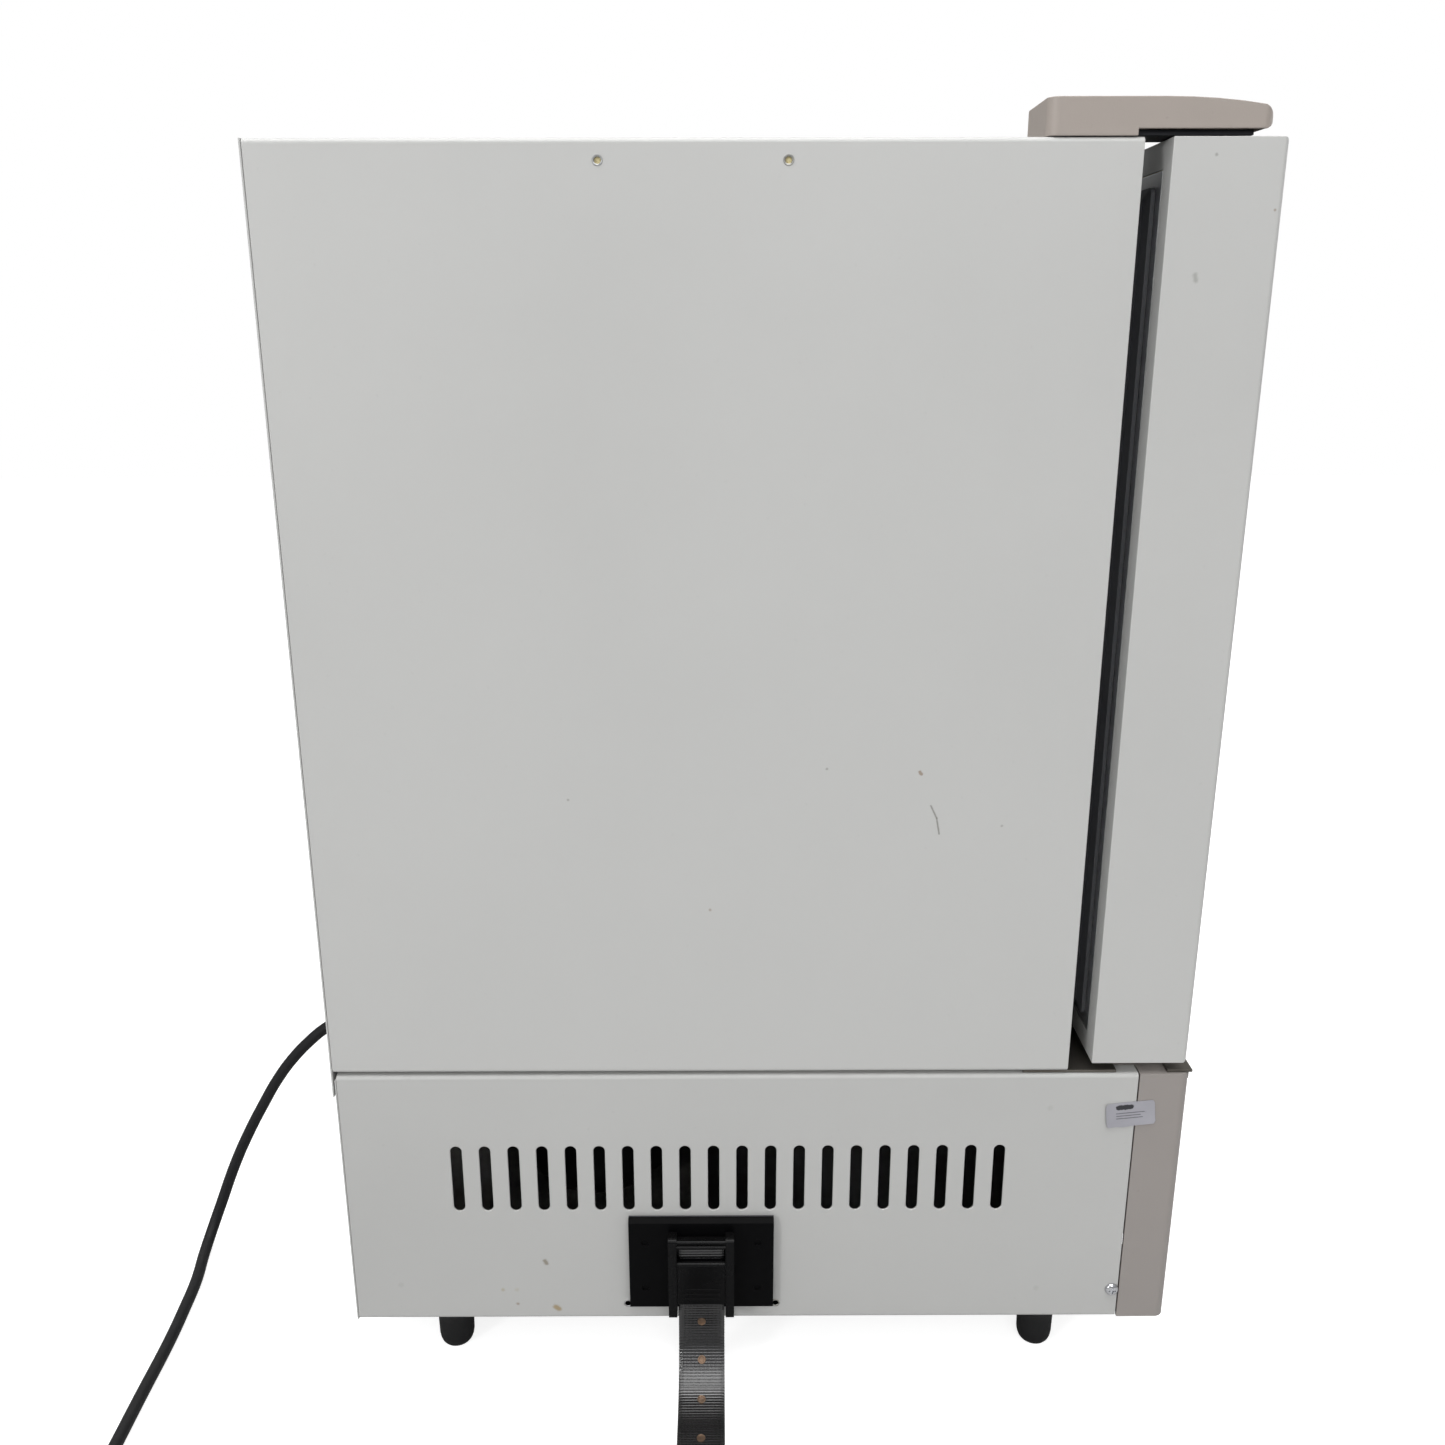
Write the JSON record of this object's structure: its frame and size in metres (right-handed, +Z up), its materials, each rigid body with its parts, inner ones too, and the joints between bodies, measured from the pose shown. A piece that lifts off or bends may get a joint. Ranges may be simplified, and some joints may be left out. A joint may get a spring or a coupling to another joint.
{
  "type": "benchtop cooled laboratory incubator",
  "caption": "Benchtop cooled laboratory incubator: insulated cabinet with hinged door on a vented lower compartment, with strap anchor and cord.",
  "frame": {"origin": "on the floor under the middle of the machine, measured without the cord and the strap", "axes": "+Z up, front (door) towards -Y, hinge side towards -X"},
  "size_m": [0.8118, 0.7532, 0.852],
  "materials": {
    "side_white": "white enamel, semi-gloss",
    "cover_beige": "warm grey, satin",
    "cap_beige": "warm grey, satin",
    "stainless": "fine brushed",
    "zinc_plate": "zinc plated sheet",
    "screw_chrome": "bright",
    "dark_steel": "blackened",
    "insulation": "rigid foam",
    "gasket_grey": "matte",
    "black_rubber": "matte",
    "black_plastic": "fine satin",
    "compressor_black": "semi-gloss",
    "nylon": "satin",
    "copper": "drawn tube",
    "aluminium": "plain sheet",
    "board_green": "solder mask",
    "window_dark": "polished, dark",
    "key_ivory": "satin",
    "strap_black": "ribbed webbing"
  },
  "bodies": {
    "machine": {"cabinet_shell": "side_white", "upper_rear_panel": "side_white", "cabinet_front_frame": "side_white", "chamber_liner": "stainless", "insulation_foam": "insulation", "air_duct_panel": "stainless", "circulation_fan_motor": "dark_steel", "heater_element": "stainless", "evaporator_coil": "aluminium", "temperature_probe": "stainless", "shelf_rack_left": "stainless", "shelf_rack_right": "stainless", "top_hinge_bracket": "dark_steel", "top_hinge_cover": "cap_beige", "bottom_hinge_plate": "zinc_plate", "lower_side_left": "side_white", "lower_side_right": "side_white", "side_screw_left": "screw_chrome", "side_screw_right": "screw_chrome", "lower_rear_panel": "side_white", "deck_plate": "zinc_plate", "base_pan": "zinc_plate", "front_cover": "cover_beige", "display_window": "window_dark", "control_board": "board_green", "power_switch_housing": "black_plastic", "compressor": "compressor_black", "condenser": "aluminium", "condenser_fan_motor": "dark_steel", "discharge_tube": "copper", "suction_tube": "copper", "capillary_and_drier": "copper", "foot_front_left": "black_rubber", "foot_front_right": "black_rubber", "foot_rear_left": "black_rubber", "foot_rear_right": "black_rubber", "adhesive_pad": "gasket_grey", "anchor_plate": "black_plastic", "buckle_frame": "black_plastic", "cord_gland": "black_plastic", "strap": "strap_black", "power_cord": "black_rubber", "power_cord_coil": "black_rubber", "power_plug": "black_rubber"},
    "door": {"door_shell": "side_white", "door_liner": "stainless", "door_foam": "insulation", "door_gasket": "gasket_grey", "door_grip": "cap_beige", "door_bush_top": "nylon", "door_bush_bottom": "nylon"},
    "shelf_upper": {"shelf_2": "stainless"},
    "shelf_lower": {"shelf_1": "stainless"},
    "chamber_fan": {"circulation_fan": "aluminium"},
    "cooling_fan": {"condenser_fan": "aluminium"},
    "down_key": {"key_down": "key_ivory"},
    "up_key": {"key_up": "key_ivory"},
    "set_key": {"key_set": "key_ivory"},
    "switch_rocker": {"power_switch_rocker": "black_plastic"},
    "buckle_lever": {"cam_lever": "black_plastic"}
  },
  "joints": [
    {"name": "door_hinge", "type": "hinge", "parent": "machine", "child": "door", "pos_m": [-0.26175, -0.262, 0.5], "axis": [0, 0, -1], "range_deg": [0, 110]},
    {"name": "shelf_upper_slide", "type": "slide", "parent": "machine", "child": "shelf_upper", "axis": [0, -1, 0], "range_m": [0, 0.038]},
    {"name": "shelf_lower_slide", "type": "slide", "parent": "machine", "child": "shelf_lower", "axis": [0, -1, 0], "range_m": [0, 0.038]},
    {"name": "chamber_fan_spin", "type": "hinge", "parent": "machine", "child": "chamber_fan", "pos_m": [0.00825, 0.2045, 0.59665], "axis": [0, 1, 0], "continuous": true},
    {"name": "cooling_fan_spin", "type": "hinge", "parent": "machine", "child": "cooling_fan", "pos_m": [0.19, 0.06, 0.1283], "axis": [1, 0, 0], "continuous": true},
    {"name": "key_down_press", "type": "slide", "parent": "machine", "child": "down_key", "axis": [0, 1, 0], "range_m": [0, 0.0012], "stiffness_N_per_m": 400, "springref_m": -0.0005},
    {"name": "key_up_press", "type": "slide", "parent": "machine", "child": "up_key", "axis": [0, 1, 0], "range_m": [0, 0.0012], "stiffness_N_per_m": 400, "springref_m": -0.0005},
    {"name": "key_set_press", "type": "slide", "parent": "machine", "child": "set_key", "axis": [0, 1, 0], "range_m": [0, 0.0012], "stiffness_N_per_m": 400, "springref_m": -0.0005},
    {"name": "power_switch_rock", "type": "hinge", "parent": "machine", "child": "switch_rocker", "pos_m": [0.10125, -0.287, 0.155], "axis": [-1, 0, 0], "range_deg": [0, 14]},
    {"name": "buckle_lever_turn", "type": "hinge", "parent": "machine", "child": "buckle_lever", "pos_m": [-0.29515, 0.042, 0.096], "axis": [0, 1, 0], "range_deg": [0, 60], "stiffness_Nm_per_rad": 0.02, "springref_deg": -17.19}
  ]
}
